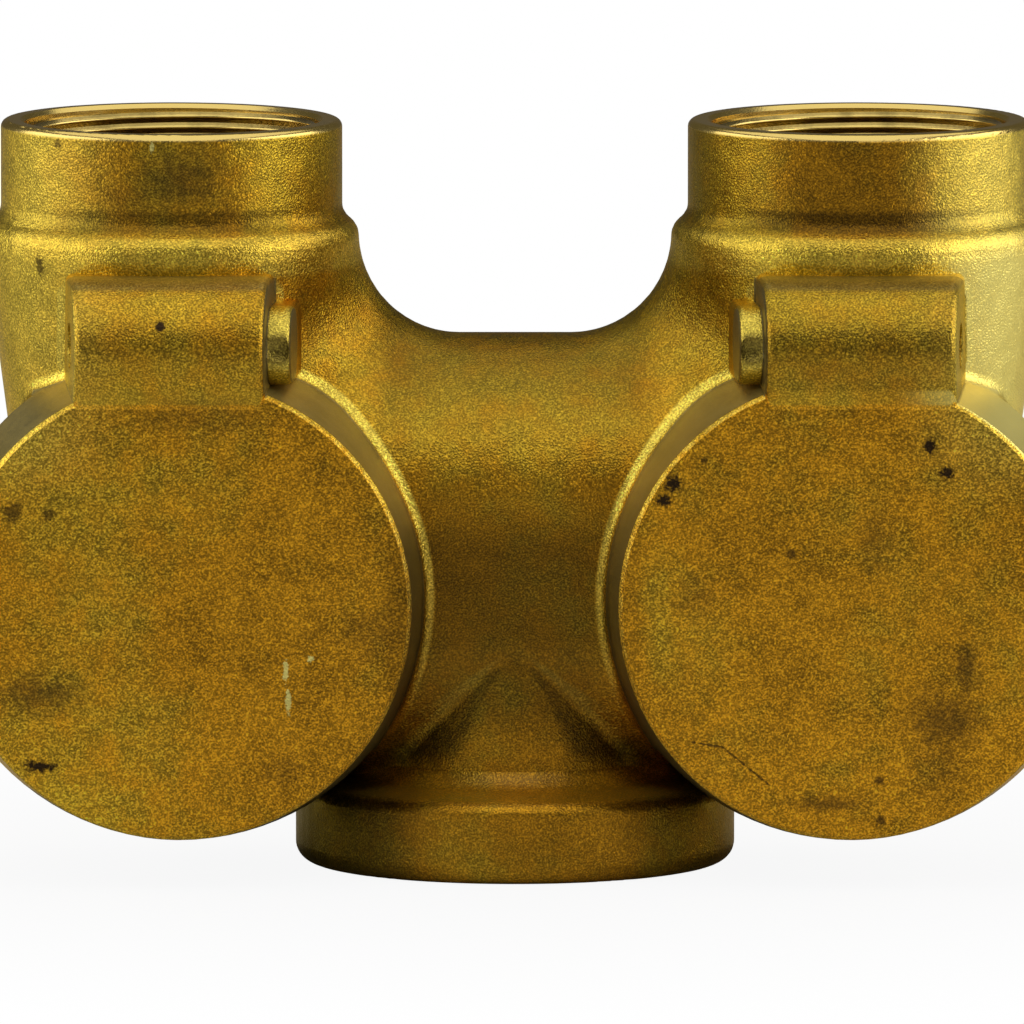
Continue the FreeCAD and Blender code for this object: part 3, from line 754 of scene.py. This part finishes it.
def floor_material(stage):
    """Pale floor that stays white in the picture and keeps a soft shadow."""
    made, tree, shader = new_material("studio_floor")
    feed(tree, shader, Base_Color=(*stage.floor, 1.0), Roughness=0.9)
    place = Place(tree)
    behind = place.y.rises(100.0, 600.0) * 0.25
    far = place.around(place.x, place.y, (0.0, 0.0)).rises(120.0, 420.0)
    path = tree.nodes.new("ShaderNodeLightPath").outputs
    seen = Field(tree, path["Is Camera Ray"]) * (far * 0.08 + 0.92)
    seen = seen.most(Field(tree, path["Is Glossy Ray"]) * behind)
    seen = seen.most(Field(tree, path["Is Transmission Ray"]) * behind)
    glow = Field.node(tree, "ShaderNodeEmission", values={"Color": (1.0, 1.0, 1.0, 1.0), "Strength": 1.0})
    mixed = Field.node(tree, "ShaderNodeMixShader", values={
        0: seen, 1: Field(tree, shader.outputs[0]), 2: glow})
    tree.links.new(mixed.socket, tree.nodes["Material Output"].inputs["Surface"])
    return made


def softbox(name, place, target, width, height, power):
    """Rectangular studio lamp that faces a point."""
    lamp = bpy.data.lights.new(name, "AREA")
    lamp.shape = "RECTANGLE"
    lamp.size = width
    lamp.size_y = height
    lamp.energy = power
    made = bpy.data.objects.new(name, lamp)
    made.location = place
    made.rotation_euler = (Vector(target) - Vector(place)).to_track_quat("-Z", "Y").to_euler()
    bpy.context.scene.collection.objects.link(made)


class FIREINLET_OT_stage(Operator):
    """Set up camera, lamps, floor and surroundings"""
    bl_idname = "fire_inlet.stage"
    bl_label = "Stage"

    def execute(self, context):
        scene = context.scene
        stage = scene.fire_inlet.stage

        mesh = bpy.data.meshes.new("floor")
        half = FLOOR_HALF
        mesh.from_pydata(
            [(-half, -half, 0), (half, -half, 0), (half, half, 0), (-half, half, 0)], [], [(0, 1, 2, 3)])
        floor = bpy.data.objects.new("floor", mesh)
        mesh.materials.append(floor_material(stage))
        scene.collection.objects.link(floor)

        middle = Vector(stage.middle)
        back = Vector((0.0, -math.cos(stage.elevation), math.sin(stage.elevation)))
        camera = bpy.data.cameras.new("camera")
        camera.lens = camera.sensor_width * stage.distance / stage.view_width
        camera.clip_end = VIEW_END
        viewer = bpy.data.objects.new("camera", camera)
        viewer.location = middle + back * stage.distance
        viewer.rotation_euler = (-back).to_track_quat("-Z", "Y").to_euler()
        scene.collection.objects.link(viewer)
        scene.camera = viewer

        for name, lamp in LAMPS.items():
            softbox(name, *lamp)

        world = bpy.data.worlds.new("studio")
        world.use_nodes = True
        background = world.node_tree.nodes["Background"]
        background.inputs["Color"].default_value = (WORLD_GREY, WORLD_GREY, WORLD_GREY, 1.0)
        scene.world = world
        scene.view_settings.view_transform = "Standard"
        return {"FINISHED"}


class FIREINLET_PT_panel(Panel):
    """Fire inlet body: its finishes and its studio"""
    bl_idname = "FIREINLET_PT_panel"
    bl_label = "Fire Inlet Body"
    bl_space_type = "VIEW_3D"
    bl_region_type = "UI"
    bl_category = "Fire Inlet"

    def draw(self, context):
        settings = context.scene.fire_inlet
        for group in (settings.brass, settings.threads, settings.small, settings.stage):
            box = self.layout.box()
            for name in group.__annotations__:
                box.prop(group, name)
        for operator in OPERATORS:
            self.layout.operator(operator.bl_idname)


OPERATORS = (
    FIREINLET_OT_casting,
    FIREINLET_OT_threads,
    FIREINLET_OT_clappers,
    FIREINLET_OT_hinges,
    FIREINLET_OT_stage,
)
CLASSES = (
    CastBrassSettings, ThreadSettings, SmallPartsSettings, StageSettings, FireInletSettings,
) + OPERATORS + (FIREINLET_PT_panel,)


def register():
    for cls in CLASSES:
        bpy.utils.register_class(cls)
    bpy.types.Scene.fire_inlet = PointerProperty(type=FireInletSettings)


def unregister():
    del bpy.types.Scene.fire_inlet
    for cls in reversed(CLASSES):
        bpy.utils.unregister_class(cls)


def main():
    register()
    bpy.ops.fire_inlet.casting()
    bpy.ops.fire_inlet.threads()
    bpy.ops.fire_inlet.clappers()
    bpy.ops.fire_inlet.hinges()
    bpy.ops.fire_inlet.stage()


if __name__ == "__main__":
    main()
